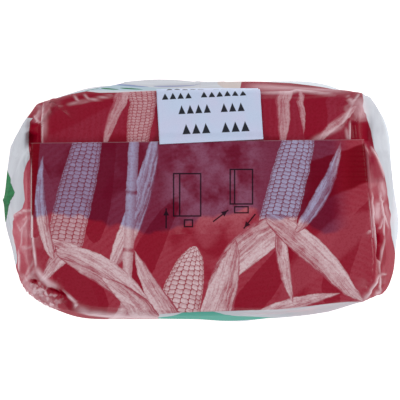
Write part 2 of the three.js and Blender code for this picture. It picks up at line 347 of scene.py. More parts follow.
# Heights from which the film is creased, and from which creases get their pale painted glint on the front
# wall, and the fade.
SHOULDER_FROM, FRONT_PALE_FROM, FADE_HEIGHT = 90.0, 130.0, 30.0
# Strength left at the ends of a crease, darkness of the painted shade in a pinched fold, softness of a
# hollow's edge.
CREASE_END, PINCH_SHADE_DARKNESS, HOLLOW_SOFTNESS = 0.3, 1.7, 0.3
# Where a side panel stands up beside its tuck: place across, deep, rise, reach inward, outward and deep.
FLARES = ((-52.6, 18.0, 9.0, 1.6, 4.0, 9.0), (52.2, 18.0, 7.0, 1.6, 4.0, 8.0))
# Slack of the film in waves, on the walls and on the top: height of the waves, their size and their seed.
WALL_SLACK, WALL_SLACK_SIZE, WALL_SLACK_SEED = 0.5, 11.0, 7
TOP_SLACK, TOP_SLACK_SIZE, TOP_SLACK_SEED = 0.06, 9.0, 8
# How the wall's waves are drawn out upright, how many waves there are, and the first seed of the facets.
WALL_SLACK_UPRIGHT, SLACK_WAVES, FACETS_SEED = 0.45, 6, 20
# The seam down the back wall: its place across, rise, half width and soft edge.
SEAM_AT, SEAM_RISE, SEAM_HALF_WIDTH, SEAM_EDGE = 3.4, 0.25, 5.0, 0.7


def closeness(x, y, line, half_width):
    """1 on a line, falling off with the distance, and less towards its ends."""
    nearest = np.full(len(x), 1e9)
    travel = np.zeros(len(x))
    passed = 0.0
    for (ax, ay), (bx, by) in zip(line, line[1:]):
        length = math.dist((ax, ay), (bx, by))
        along = np.clip(((x - ax) * (bx - ax) + (y - ay) * (by - ay)) / length**2, 0, 1)
        distance = np.hypot(x - ax - along * (bx - ax), y - ay - along * (by - ay))
        closer = distance < nearest
        nearest = np.where(closer, distance, nearest)
        travel = np.where(closer, passed + along * length, travel)
        passed += length
    fade = 1 - np.abs(2 * travel / passed - 1) ** 4
    return (CREASE_END + (1 - CREASE_END) * fade) * np.exp(-((nearest / half_width) ** 2))


def folded_waves(place, size, seed):
    """The slack of a film in a few folded waves, each in a direction of its own."""
    draw = np.random.default_rng(seed)
    total = np.zeros(len(place))
    for _ in range(SLACK_WAVES):
        direction = draw.normal(size=3)
        direction /= np.linalg.norm(direction)
        bend = draw.uniform(0, 6.3)
        phase = place @ direction / (size * draw.uniform(1.6, 3.2)) + draw.uniform(0, 1)
        phase += 0.12 * np.sin(place @ np.roll(direction, 1) / size + bend)
        total += np.abs(phase % 1 - 0.5) * 2 - 0.5
    return total / (SLACK_WAVES / 2)


def facets(x, y, size, seed):
    """Flat tilted facets, as crumpled film has: their heights, and for each a tone of painted light and shade
    from -0.7 to 1.
    """
    draw = np.random.default_rng(seed)
    count = int(2 * FACETS_REACH / size)
    shifts = draw.uniform(0.1, 0.9, (count, count, 2))
    tilts = draw.normal(0, 1, (count, count, 2))
    facet_lights = draw.uniform(-0.7, 1, (count, count))
    place = np.stack([x, y], axis=-1) / size + count / 2
    home = np.floor(place).astype(int)
    heights, tone, total = np.zeros((3, len(x)))
    for step in ((i, j) for i in (-1, 0, 1) for j in (-1, 0, 1)):
        column, row = (home + step).T
        offset = place - home - step - shifts[column, row]
        weight = np.exp(-FACET_SHARPNESS * (offset**2).sum(axis=-1))
        heights += weight * (offset * tilts[column, row]).sum(axis=-1)
        tone += weight * facet_lights[column, row]
        total += weight
    return heights / total, tone / total


def box_share(x, y, across_range, deep_range, soft):
    """1 inside an upright box, falling to 0 over a soft edge."""
    inside_x = np.minimum(x - across_range[0], across_range[1] - x)
    inside_y = np.minimum(y - deep_range[0], deep_range[1] - y)
    return smooth_step(np.minimum(inside_x, inside_y), -soft, soft)


x, y, z = (points + in_frame).T
down = flat[:, 2]
shoulder = smooth_step(z, SHOULDER_FROM, SHOULDER_FROM + FADE_HEIGHT)
relief = np.zeros(len(points))
pale_glint_and_shade = np.zeros(len(points))
# Crumpled facets: each gets a tone of painted light and shade.
for seed, (middle, reach, depth, size, painted_light) in enumerate(CRUMPLES.values(), FACETS_SEED):
    away = ((x - middle[0]) ** 2 + (y - middle[1]) ** 2) / reach**2
    near = np.exp(-(away**2) - (inside_rim / FACETS_INWARD) ** 2) * shoulder
    here = near > 0.01
    heights, facet_lights = facets(x[here], y[here], size, seed)
    relief[here] += depth * heights * near[here]
    pale_glint_and_shade[here] += painted_light * facet_lights * near[here]
near_edge = np.where(y < 0, smooth_step(z, FRONT_PALE_FROM, FRONT_PALE_FROM + FADE_HEIGHT), 1.0)
# Creases: raised, and painted pale along the line as stretched film with a painted glint.
for line, height, half_width, painted_light in CREASES.values():
    close = closeness(x, y, line, half_width) * shoulder
    relief += height * close
    pale_glint_and_shade = np.maximum(pale_glint_and_shade, painted_light * close * near_edge)
# Pinched folds: sunk in, and darkened with painted shade.
for line, depth, half_width in PINCHES.values():
    close = closeness(x, y, line, half_width) * shoulder
    relief -= depth * close
    pale_glint_and_shade = pale_glint_and_shade * (1 - close) - PINCH_SHADE_DARKNESS * close
wall_slack = folded_waves(points * [1, 1, WALL_SLACK_UPRIGHT], WALL_SLACK_SIZE, WALL_SLACK_SEED)
relief += WALL_SLACK * smooth_step(down, 2, 20) * wall_slack * smooth_step(z, 2, 12)
relief += TOP_SLACK * folded_waves(points, TOP_SLACK_SIZE, TOP_SLACK_SEED) * smooth_step(z, 150, 170)

bag_normals = np.empty(len(points) * 3, np.float32)
bag.data.vertex_normals.foreach_get("vector", bag_normals)
moved = points + bag_normals.reshape(-1, 3) * relief[:, None]
# Hollows of the tucks: sunk in, and darkened with painted shade.
for across_range, deep_range, depth, dark in HOLLOWS.values():
    share = box_share(x, y, across_range, deep_range, HOLLOW_SOFTNESS) * shoulder
    moved[:, 2] -= depth * share
    pale_glint_and_shade = np.minimum(pale_glint_and_shade, 1 - share) - dark * share
for flare_x, flare_y, rise, inward, outward_reach, flare_deep in FLARES:
    beyond = (x - flare_x) * np.sign(flare_x)
    profile = np.exp(-((beyond / np.where(beyond > 0, outward_reach, inward)) ** 2))
    moved[:, 2] += rise * profile * np.exp(-(((y - flare_y) / flare_deep) ** 4)) * smooth_step(z, 120, 145)
seam = SEAM_RISE * (1 - smooth_step(abs(x - SEAM_AT), SEAM_HALF_WIDTH - SEAM_EDGE, SEAM_HALF_WIDTH))
moved[:, 1] += seam * (y > BELLY_DEPTH / 4) * smooth_step(down, 4, 8) * smooth_step(z, 2, 6)
bag.data.vertices.foreach_set("co", ((moved + in_frame) * MM).astype(np.float32).ravel())
bag.data.update()

# The edge of the red print: places deep and across on the two side panels, and across and deep on the front
# and the back. Where an edge lies beyond the bag, the red runs on down the wall to its greatest depth.
BEYOND = 90.0
RED_LEFT = (
    (-24.0, -BEYOND), (-23.0, -57.5), (-18.4, -54.6), (-14.9, -54.7), (-12.8, -55.7), (-9.0, -56.4),
    (-4.0, -55.7), (-2.2, -53.0), (0.4, -51.9), (5.8, -52.5), (8.7, -52.2), (11.4, -51.2), (12.8, -50.3),
    (14.0, -50.4), (16.7, -50.9), (23.8, -50.9), (25.0, -49.9), (26.0, -BEYOND),
)
RED_RIGHT = (
    (-17.0, BEYOND), (-13.4, 59.5), (-9.0, 58.7), (-4.6, 58.0), (-0.2, 57.0), (4.3, 56.1), (7.8, 55.3),
    (10.8, 54.0), (13.7, 53.0), (15.5, 51.9), (17.6, 51.6), (21.4, 50.9), (24.3, 50.0), (25.8, 49.1),
    (28.2, 48.2),
)
RED_FRONT = (
    (-13.5, -BEYOND), (-12.5, -33.2), (-5.0, -32.6), (12.0, -32.1), (24.0, -31.7), (34.0, -30.5),
    (43.0, -29.5), (47.9, -29.4), (54.0, -31.5), (56.0, -BEYOND),
)
RED_BACK = (
    (-42.0, BEYOND), (-40.0, 36.0), (-33.0, 32.7), (-29.4, 32.3), (-23.5, 32.4), (-13.0, 33.1), (12.7, 33.4),
    (12.9, BEYOND),
)
# The greatest depth of the red down the wall, by degrees round the bag: a lobe hangs at each corner.
RED_DEPTHS = (
    (-180, 60), (-153, 24), (-149, 42), (-147.5, 58), (-142, 70), (-135, 77), (-125, 79), (-116, 73),
    (-108, 60), (-102, 46), (-98, 36), (-60, 24), (-52, 32), (-47, 50), (-42, 61), (-34, 63), (-28, 58),
    (-24, 48), (-18, 36), (40, 30), (46, 42), (50, 62), (56, 76), (64, 80), (72, 76), (77, 66), (82, 52),
    (118, 20), (126, 36), (135, 46), (143, 40), (148, 24), (153, 20), (180, 60),
)
# Places round the bag at which the depths are smoothed, how many to each side share in one, and a factor
# for the softness of a lobe's lower edge.
PLACES_ROUND, SMOOTH_REACH, DEPTH_EDGE = 721, 7, 0.3
SMOOTHING = np.hanning(2 * SMOOTH_REACH + 1)
SMOOTHING /= SMOOTHING.sum()


def edge_at(place, edge):
    return np.interp(place, *zip(*edge))


turns = np.linspace(-180, 180, PLACES_ROUND)
padded_depths = np.pad(edge_at(turns, RED_DEPTHS), SMOOTH_REACH, mode="wrap")
smooth_depths = np.convolve(padded_depths, SMOOTHING, "valid")
wavy_depth = np.interp(np.degrees(np.arctan2(y, x * BELLY_DEPTH / BELLY_WIDTH)), turns, smooth_depths)
inside_red = [
    x - edge_at(y, RED_LEFT), edge_at(y, RED_RIGHT) - x,
    y - edge_at(x, RED_FRONT), edge_at(x, RED_BACK) - y,
]
red_edge = np.minimum(np.min(inside_red, axis=0), (wavy_depth - down) * DEPTH_EDGE)


def keep_on_points(piece, name, kind, values):
    attribute = piece.data.attributes.new(name, kind, "POINT")
    field = "vector" if kind == "FLOAT_VECTOR" else "value"
    attribute.data.foreach_set(field, values.astype(np.float32).ravel())


keep_on_points(bag, "flat_film", "FLOAT_VECTOR", flat)
keep_on_points(bag, "red_edge", "FLOAT", red_edge)
keep_on_points(bag, "pale_glint_and_shade", "FLOAT", np.clip(pale_glint_and_shade, -2, 1))


class Ink:
    """A value in a node tree. Arithmetic on it adds the Math nodes that work it out."""

    # The colour sockets of a Mix node go by number.
    MIX_SHARE, MIX_LOW, MIX_HIGH, MIX_RESULT = 0, 6, 7, 2

    def __init__(self, tree, socket=None):
        self.tree = tree
        self.socket = socket

    def node(self, kind, settings=None, inputs=None, output=0):
        made = self.tree.nodes.new(kind)
        for name, value in (settings or {}).items():
            setattr(made, name, value)
        for name, value in (inputs or {}).items():
            if isinstance(value, Ink):
                self.tree.links.new(value.socket, made.inputs[name])
            else:
                made.inputs[name].default_value = value
        return Ink(self.tree, made.outputs[output])

    def math(self, operation, *values):
        return self.node("ShaderNodeMath", {"operation": operation}, dict(enumerate(values)))

    def __add__(self, other):
        return self.math("ADD", self, other)

    def __sub__(self, other):
        return self.math("SUBTRACT", self, other)

    def __rsub__(self, other):
        return self.math("SUBTRACT", other, self)

    def __mul__(self, other):
        return self.math("MULTIPLY", self, other)

    def __truediv__(self, other):
        return self.math("DIVIDE", self, other)

    def __pow__(self, other):
        return self.math("POWER", self, other)

    def __abs__(self):
        return self.math("ABSOLUTE", self)

    __radd__ = __add__
    __rmul__ = __mul__

    def least(self, other):
        return self.math("MINIMUM", self, other)

    def most(self, other):
        return self.math("MAXIMUM", self, other)

    def clip(self):
        return self.most(0.0).least(1.0)

    def sine(self):
        return self.math("SINE", self)

    def whole(self):
        return self.math("FLOOR", self)

    def rest(self):
        return self.math("FRACT", self)

    def ramp(self, low, high):
        """0 up to low, 1 from high on, smooth between."""
        limits = {"Value": self, "From Min": low, "From Max": high}
        return self.node("ShaderNodeMapRange", {"interpolation_type": "SMOOTHSTEP"}, limits)

    def parts(self):
        split = self.tree.nodes.new("ShaderNodeSeparateXYZ")
        self.tree.links.new(self.socket, split.inputs[0])
        return [Ink(self.tree, output) for output in split.outputs]

    def noise(self, scale, detail=2.0, roughness=0.5, output="Fac"):
        sizes = {"Vector": self, "Scale": scale, "Detail": detail, "Roughness": roughness}
        return self.node("ShaderNodeTexNoise", None, sizes, output)

    def attribute(self, name, output):
        """A value kept on the points of the mesh."""
        return self.node("ShaderNodeAttribute", {"attribute_name": name}, None, output)

    def mix(self, share, low, high, kind="MIX"):
        inputs = {self.MIX_SHARE: share, self.MIX_LOW: low, self.MIX_HIGH: high}
        return self.node("ShaderNodeMix", {"data_type": "RGBA", "blend_type": kind}, inputs, self.MIX_RESULT)

    def blend(self, low, high):
        """The colour low where this value is 0, and high where it is 1."""
        return self.mix(self, low, high)

    def under(self, colour, mask):
        """This colour with another laid over it where the mask is 1."""
        return self.mix(mask, self, colour)

    def tinted(self, colour, mask):
        """This colour multiplied by another where the mask is 1."""
        return self.mix(mask, self, colour, "MULTIPLY")


def paint(red, green, blue):
    """A colour given by its screen values, from 0 to 255."""
    def linear(value):
        share = value / 255
        return share / 12.92 if share <= 0.04045 else ((share + 0.055) / 1.055) ** 2.4

    return (linear(red), linear(green), linear(blue), 1.0)


RED, DEEP_RED, PALE_RED = paint(162, 44, 63), paint(146, 14, 41), paint(172, 70, 86)
# The hollow red and the fold red are painted shade, for the tucks' hollows and the pinched folds; the end red
# is print.
END_RED, HOLLOW_SHADE_RED = paint(126, 2, 26), paint(140, 2, 30)
# The pouch red is painted light, a paler red for the slope of the pouch at the left.
FOLD_SHADE_RED, POUCH_LIT_RED = paint(84, 0, 14), paint(208, 100, 118)
CREAM, CREAM_SHADE, CREAM_LINE = paint(226, 200, 205), paint(168, 74, 90), paint(158, 40, 58)
EAR_CREAM, BACK_CREAM, STRETCHED_GLINT = paint(206, 168, 177), paint(204, 160, 167), paint(240, 212, 220)
WHITE_FILM, GREY_FILM, SHEEN_WHITE_FILM = paint(210, 213, 221), paint(196, 198, 207), paint(232, 240, 248)
BACK_BLUE_SHADE = paint(168, 194, 208)
GREEN, LEAF_GREEN, TEAL = paint(10, 112, 62), paint(110, 176, 96), paint(92, 178, 162)
SIDE_GREEN, SIDE_GREEN_LIGHT = paint(4, 92, 46), paint(30, 128, 74)
BLUE, BEIGE = paint(96, 110, 176), paint(206, 176, 158)
GOLD, GOLD_LINE = paint(232, 184, 76), paint(176, 112, 36)
FIN_TINT = (0.55, 0.68, 0.96, 1.0)
BACK_TINT = (0.82, 0.5, 0.68, 1.0)
GRAIN_TINT = (0.84, 0.6, 0.64, 1.0)


def lying_along(x, y, start, end):
    """Share of the way from start to end, and distance to the side of that line."""
    length = math.dist(start, end)
    run_x, run_y = (end[0] - start[0]) / length, (end[1] - start[1]) / length
    along = (x * run_x + y * run_y - (start[0] * run_x + start[1] * run_y)) / length
    side = y * run_x - x * run_y - (start[1] * run_x - start[0] * run_y)
    return along, side


def print_ear(colour, spot, start, end, width, light=CREAM, line=CREAM_LINE):
    """An ear of maize from its foot to its tip, in rows of rounded kernels."""
    rows_seen, kernel_length = 8.0, 0.11 * width
    x, y, _ = spot
    along, side = lying_along(x, y, start, end)
    half = (1 - along.clip() ** 3.5) ** 0.6 * (width / 2)
    inside = (half - abs(side)).ramp(-0.1, 0.2) * along.ramp(-0.01, 0.01)
    across = (side / half).least(0.999).most(-0.999)
    rows = across.math("ARCSINE", across) * (rows_seen / math.pi) + 20
    row = rows.whole()
    row_place = (rows - row) * 2 - 1
    kernels = along * (math.dist(start, end) / kernel_length) + row * 0.37 + across * across * 0.4
    kernel = kernels.whole()
    kernel_place = (kernels - kernel) * 2 - 1
    chance = colour.node("ShaderNodeTexWhiteNoise", {"noise_dimensions": "1D"}, {"W": row * 7.3 + kernel})
    gaps = (row_place**4 + kernel_place**4).ramp(0.25, 1.3) * 1.2
    light_share = (1 - gaps - kernel_place * 0.4) * (1 - across**4 * 0.45) * (chance * 0.35 + 0.76)
    return colour.under(light_share.blend(line, light), inside)


def leaf_depth(spot, start, end, width, bend):
    """How far inside a pointed, bent leaf a place lies, how far along it, and how far to the side."""
    x, y, _ = spot
    along, side = lying_along(x, y, start, end)
    kept = along.clip()
    side = side - kept * (1 - kept) * (4 * bend)
    return kept**0.5 * (1 - kept) ** 0.8 * (width * 1.15) - abs(side), kept, side


def print_patch(colour, spot, start, end, width, bend, tone, strength=1.0, soft=0.25):
    """A plain leaf of one colour."""
    depth, _, _ = leaf_depth(spot, start, end, width, bend)
    return colour.under(tone, depth.ramp(-0.05, soft) * strength)


def print_leaf(colour, spot, start, end, width, bend, light=CREAM, dark=CREAM_SHADE):
    """A leaf with fine streaks along it, a few dark veins and a shaded rim."""
    _, _, wave = spot
    depth, kept, side = leaf_depth(spot, start, end, width, bend)
    fibre = colour.node("ShaderNodeCombineXYZ", None, {0: side * 1.3, 1: kept * 2.5, 2: start[0] + start[1]})
    streaks = fibre.noise(1.0, 3.0, 0.65)
    veins = 1 - abs(streaks - 0.44).ramp(0.0, 0.035)
    light_share = streaks * 2.0 + side * (0.9 / width) + wave * 0.9 - 0.3
    lines = veins * 0.3 + (1 - depth.ramp(0.1, 0.6)) * 0.5
    return colour.under((light_share - lines).blend(dark, light), depth.ramp(-0.05, 0.2))


def print_stalk(colour, spot, start, end, width):
    """A straight stalk with a joint every so often."""
    joint_pitch = 17.0
    x, y, wave = spot
    along, side = lying_along(x, y, start, end)
    joint = abs((along * (math.dist(start, end) / joint_pitch)).rest() - 0.5).ramp(0.44, 0.5)
    inside = (joint * 0.25 + width / 2 - abs(side)).ramp(-0.05, 0.25)
    light_share = 0.95 + wave * 0.4 - abs(side - width * 0.1) * (1.1 / width) - joint * 0.5
    return colour.under(light_share.blend(CREAM_SHADE, CREAM), inside)


def red_ground(place, spot):
    """The red of the print, with fine arcs of a paler red in it."""
    arcs_middle, arcs_density = (24, -70), 3.6
    x, y, wave = spot
    across, deep = x - arcs_middle[0], y - arcs_middle[1]
    from_middle = (across * across + deep * deep) ** 0.5
    arcs = (from_middle * arcs_density + wave * 6).sine()
    ground = (arcs * 0.14 + place.noise(0.06, 3.0) * 1.2 - 0.15).blend(RED, PALE_RED)
    return ground.under(DEEP_RED, place.noise(0.045, 2.0).ramp(0.55, 0.62) * 0.75)


def print_motifs(colour, spot, motifs):
    """A colour with motifs laid over it one after another."""
    for motif, *sizes in motifs:
        colour = motif(colour, spot, *sizes)
    return colour


# What is printed on the front film, which runs on over the fin, on the back film behind the fin, and on the
# white film of the walls: each motif from its foot to its tip, its width, its bend, and what else it takes.
FRONT_PRINT = (
    (print_patch, (-31, -12), (-25, 30), 9, 1, DEEP_RED, 0.8),
    (print_patch, (8, -36), (29, -8), 9, -2, DEEP_RED, 0.8),
    (print_patch, (38, -32), (52, 2), 8, 2, DEEP_RED, 0.7),
    (print_patch, (-21, -32), (-4, 4), 8, 2, DEEP_RED, 0.8),
    (print_patch, (53, -3), (22, -33), 12, -3, PALE_RED, 0.7, 2.0),
    (print_patch, (-28, -40), (-47, 14), 9, 3, PALE_RED, 0.8),
    (print_patch, (2, -14), (6, 24), 16, 1, PALE_RED, 0.8, 4.0),
    (print_patch, (24, 26), (14, -14), 12, 1, PALE_RED, 0.7, 4.0),
    (print_leaf, (-26, -20), (-12, 24), 6.5, -2),
    (print_stalk, (-22.5, -48), (-18.5, 30), 3.2),
    (print_patch, (-40, -16), (-26, -39), 14, -1, DEEP_RED, 0.8),
    (print_ear, (-40.5, -15), (-30.0, 29), 11, EAR_CREAM),
    (print_leaf, (-36, -12), (-46.5, -24), 5, -1),
    (print_leaf, (-44, -11), (-24, -27), 4, 2),
    (print_leaf, (-42, -14), (-11, -38), 8.5, 3.5),
    (print_leaf, (-43, -17), (-46, 14), 4, 2),
    (print_ear, (23, -7), (33, 32), 11),
    (print_leaf, (28, -5), (2, -29), 10.5, -3),
    (print_leaf, (14, -35), (42, -27), 4, 1),
    (print_leaf, (24, -6), (28, -30), 4, -1),
    (print_leaf, (20, -4), (49, -32), 8, 2),
    (print_leaf, (28.5, -9), (42, 18), 4.5, -2),
    (print_leaf, (1, -42), (11, -11), 9.5, -1),
    (print_ear, (-10, -46), (-1, -13), 13),
    (print_leaf, (-2, -40), (-19, -14), 6, 2),
    (print_leaf, (-9, -43), (-29, -22), 7, -2),
    (print_leaf, (-12, -44), (20, -35), 8, 2),
)
BACK_PRINT = (
    (print_patch, (-14, 40), (-48, 18), 12, -2, DEEP_RED, 0.7, 1.5),
    (print_patch, (30, 38), (34, 12), 9, 2, DEEP_RED, 0.8),
    (print_ear, (-14, 46), (-20, 6), 8, BACK_CREAM),
    (print_leaf, (-17, 38), (-28, 15), 4, -2, BACK_CREAM),
    (print_leaf, (22, 40), (24, 14), 4.5, 2, BACK_CREAM),
    (print_leaf, (28, 34), (31, 20), 2.2, 1, BACK_CREAM),
    (print_leaf, (47, 28), (33, 15), 3, -1, BACK_CREAM),
)
WALL_PRINT = (
    # A pale blue-grey patch on the back wall: partly print, partly painted shade.
    (print_patch, (-44, 72), (-4, 82), 44, 0, BACK_BLUE_SHADE, 0.8, 6.0),
    (print_patch, (-13.5, -52), (23, -50), 40, 0, TEAL),
    (print_patch, (9.4, 108), (8.6, 54), 9, 0, BEIGE, 0.5),
    (print_patch, (-30.0, 65), (-25.5, 66), 5, 0, GREEN),
    (print_patch, (-25.0, 67), (-20.5, 68), 6, 0, GREEN),
    (print_patch, (-20.0, 77), (-14.5, 75), 7, 0, GREEN),
    (print_patch, (-33, 86), (-24, 88), 6, 0, BLUE, 0.6),
    (print_patch, (-24, 91), (-13, 89), 8, 0, BLUE, 0.6),
    (print_patch, (-12, 93), (1, 90), 7, 0, BLUE, 0.5),
    (print_leaf, (-140, 1), (-67, 2.5), 16, 0, SIDE_GREEN_LIGHT, SIDE_GREEN),
)
# The maize on the front and the back wall: its leaves, and its ear before them.
WALL_LEAVES = (
    (print_leaf, (0, 27), (-38, 74), 21, -6, LEAF_GREEN, GREEN),
    (print_leaf, (0, 27), (38, 74), 21, 6, LEAF_GREEN, GREEN),
)
WALL_EAR = ((0, 27), (0, 86), 23, GOLD, GOLD_LINE)
BAND_HEIGHT, STRIPE_HEIGHT = 17.0, 3.0


def print_place(place):
    """Where a motif reads its place on the film, a little uneven, and the unevenness itself."""
    x, y, _ = place.parts()
    wave, shift, _ = place.noise(0.3, 3.0, 0.6, "Color").parts()
    wave = wave - 0.5
    return x + wave, y + (shift - 0.5), wave


def fin_tone(x, y, place):
    """1 where no meal lies behind the film, so that it looks darker and bluer."""
    edge = place.noise(0.1, 2.0) * 9 + (x * 0.11).sine() * 2.5
    return (y - FIN_ROOT - edge).ramp(-0.8, 0.8) * (1 - x.ramp(38.0, 46.0)) * x.ramp(-49.4, -49.0)


def print_grain(colour, place):
    """The fine uneven dots of the print."""
    return colour.tinted(GRAIN_TINT, place.noise(1.5, 3.0, 0.75).ramp(0.42, 0.72))


def white_film(place):
    """Unprinted film, white in some places and greyer in others."""
    return place.noise(0.05, 3.0).ramp(0.35, 0.7).blend(WHITE_FILM, GREY_FILM)


def film_finish(material, colour, place, roughness, sheen):
    """Base colour, ripples and gloss of a thin plastic film. Its gloss is all in its clear outer layer."""
    shader = material.node_tree.nodes["Principled BSDF"]
    shader.inputs["Specular IOR Level"].default_value = 0.0
    shader.inputs["Coat Roughness"].default_value = roughness
    ripples = place.noise(0.32, 3.0, 0.55) + place.noise(1.3, 2.0) * 0.16
    bump = colour.node("ShaderNodeBump", None, {"Strength": 0.3, "Distance": 0.5 * MM, "Height": ripples})
    gloss = sheen * (place.noise(0.12, 2.0).ramp(0.3, 0.7) * 0.4 + 0.8)
    for socket, value in (("Base Color", colour), ("Coat Weight", gloss), ("Normal", bump)):
        material.node_tree.links.new(value.socket, shader.inputs[socket])


def new_material(name):
    material = bpy.data.materials.new(name)
    material.use_nodes = True
    return material


bag_print = new_material("printed_bag_film")
blank = Ink(bag_print.node_tree)
place = blank.attribute("flat_film", "Vector")
spot = print_place(place)
x, y, wave = spot
_, _, down = place.parts()
in_plan = blank.node("ShaderNodeTexCoord", None, None, "Object").parts()
plan_x, plan_y, level = (part / MM for part in in_plan)

# The walls: white film, painted paler down the right and the front wall as painted light and sheen, with its
# own print and a band at the foot.
walls = white_film(place)
# Painted light: paler low on the right wall, where the light is strongest, and a painted sheen down the front
# wall.
walls = walls.under(SHEEN_WHITE_FILM, down.ramp(32.0, 60.0) * plan_x.ramp(0.0, 30.0) * 0.8)
walls = walls.under(SHEEN_WHITE_FILM, down.ramp(8.0, 40.0) * (1 - plan_y.ramp(-30.0, -26.0)))
walls = print_motifs(walls, spot, WALL_PRINT)
walls = print_motifs(walls, (plan_x + wave * 2, level, wave), WALL_LEAVES)
walls = print_ear(walls, (plan_x, level, wave), *WALL_EAR)
band_edge = BAND_HEIGHT + (plan_x * 0.1).sine() * 2.5 + (plan_y * 0.13).sine() * 2
walls = walls.under(GREEN, (band_edge + STRIPE_HEIGHT - level).ramp(0.0, 0.4))
walls = walls.under(RED, (band_edge - level).ramp(0.0, 0.4))

# The red film of the top: the front film, the back film behind the fin, and the slack pouch at the left,
# painted a paler red as light on its slope.
front = print_motifs(red_ground(place, spot), spot, FRONT_PRINT).tinted(FIN_TINT, fin_tone(x, y, place))
back = print_motifs(red_ground(place, (y, x, wave)).tinted(BACK_TINT, 1.0), spot, BACK_PRINT)
printed = front.under(back, y.ramp(5.0, 6.0))
# Painted light on the pouch's slope, stronger towards the back.
pouch_light_share = (1 - plan_y.ramp(12.0, 15.0)) * (plan_y.ramp(-22.0, -12.0) * 0.35 + 0.25)
printed = printed.under(POUCH_LIT_RED, (1 - plan_x.ramp(-50.4, -49.6)) * pouch_light_share)
printed = print_grain(printed, place)
edge = blank.attribute("red_edge", "Fac")
colour = walls.under(printed, (edge + wave * 0.3).ramp(-0.12, 0.12))

# Stretched film is pale, with painted glints along its creases and painted light and shade on crumpled
# facets; the hollows and pinched folds get painted shade and lose their gloss.
pale_glint_and_shade = blank.attribute("pale_glint_and_shade", "Fac")
colour = colour.under(STRETCHED_GLINT, (pale_glint_and_shade * (0.85 + wave)).clip())
# Painted shade: deep red in the hollows and a darker red in the deepest folds, with less gloss there.
painted_shade = pale_glint_and_shade * -1
colour = colour.under(HOLLOW_SHADE_RED, painted_shade.clip()).under(FOLD_SHADE_RED, (painted_shade - 1).clip())
bag_sheen = 0.3 - down.ramp(1.0, 7.0) * 0.22 + down.ramp(70.0, 110.0) * 0.15
film_finish(bag_print, colour, place, roughness=0.2, sheen=bag_sheen * (1 - painted_shade.clip() * 0.9))
bag.data.materials.append(bag_print)
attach(bag, "root")
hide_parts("bag")

# The folded base: the film's lower end, folded in like a parcel and welded flat under the bag. The two end
# flaps lie inside, with the front and the back flap over them. Each flap: its corners and its height.
FLAP_THICKNESS = 0.25
FLAPS = (
    (((-47, -26), (-24, -7), (-24, 7), (-47, 26)), 0.6),
    (((47, -26), (47, 26), (24, 7), (24, -7)), 0.6),
    (((-46, -27), (46, -27), (31, 4), (-31, 4)), 0.32),
    (((-46, 27), (-32, -6), (32, -6), (46, 27)), 0.04),
)
flap_points, flap_faces = [], []
for corners, lift in FLAPS:
    count = len(corners)
    lower = np.arange(count) + len(flap_points)
    upper = lower + count
    for height in (lift, lift + FLAP_THICKNESS):
        flap_points += [(*corner, height) for corner in corners]
    flap_faces += [lower[::-1].tolist(), upper.tolist()]
    flap_faces += np.stack([lower, np.roll(lower, -1), np.roll(upper, -1), upper], axis=-1).tolist()
flaps = mesh_piece("base_flaps", np.array(flap_points, float) + in_frame, flap_faces)
flaps.data.shade_flat()
flap_film = new_material("base_film")
place = Ink(flap_film.node_tree).node("ShaderNodeTexCoord", None, None, "Object")
place = place.node("ShaderNodeVectorMath", {"operation": "SCALE"}, {0: place, "Scale": 1 / MM})
film_finish(flap_film, white_film(place), place, roughness=0.25, sheen=0.3)
flaps.data.materials.append(flap_film)
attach(flaps, "root")

# The sealed fin: the two films of the bag's mouth, welded between ribbed jaws and folded back flat over the
# top. Its face is the front film running on, so the print runs on too, darker with no meal behind it.
FIN_LEFT, FIN_RIGHT, FIN_RIGHT_SLANT = -49.6, 50.6, 0.094
FIN_WIDTH, FIN_THICKNESS = FIN_RIGHT - FIN_LEFT, 0.7
FIN_EDGE, FIN_SLANT, FIN_DROOP = 18.05, 1.05, 0.5
FIN_WAVES, FIN_LIFT, FIN_SINK = 0.2, 0.07, 0.04
FIN_CELLS_ACROSS, FIN_CELLS_ALONG = 150, 120
SEAL_FROM, SEAL_TO, SEAL_EDGE = 1.5, 16.6, 1.5
RIB_PITCH, RIB_DEPTH = 1.5, 0.07
FIELD_RED, MAUVE, PEN_INK = paint(152, 2, 30), paint(192, 106, 118), paint(24, 14, 26)
PEN = 0.26


def fin_face(across, reach):
    y = FIN_ROOT + (FIN_EDGE + FIN_SLANT * across / 2 - FIN_ROOT) * reach
    x = FIN_LEFT + (FIN_WIDTH - FIN_RIGHT_SLANT * y) * (across + 1) / 2
    waves = FIN_WAVES * np.sin(x / 7.0 + 0.6) * np.sin(x / 17.0) * reach**4
    lift = FIN_LIFT * smooth_step(reach, 0, 0.08) - FIN_SINK
    z = HEIGHT - crown_fall(x, y) + lift - FIN_DROOP * across**8 * reach + waves
    return np.stack([x, y, z], axis=-1)


def sheet_faces(shape):
    """Faces of a thin closed sheet: its upper face, its lower face and the side round them."""
    index = np.arange(math.prod(shape)).reshape(shape)
    quads, rim = grid_quads(index), grid_rim(index)
    rim_after = np.roll(rim, -1)
    side = np.stack([rim, rim + index.size, rim_after + index.size, rim_after], axis=-1)
    return quads.tolist() + (quads[:, ::-1] + index.size).tolist() + side.tolist()


fin_steps = [np.linspace(0, 1, FIN_CELLS_ALONG + 1), np.linspace(-1, 1, FIN_CELLS_ACROSS + 1)]
reach, across = np.meshgrid(*fin_steps, indexing="ij")
face = fin_face(across, reach).reshape(-1, 3)
fin_points = np.concatenate([face, face - [0, 0, FIN_THICKNESS]])
fin_blank = mesh_piece("fin_blank", fin_points + in_frame, sheet_faces(reach.shape))
keep_on_points(fin_blank, "flat_film", "FLOAT_VECTOR", fin_points * [1, 1, 0])
keep_on_points(fin_blank, "is_face", "FLOAT", np.arange(len(fin_points)) < len(face))


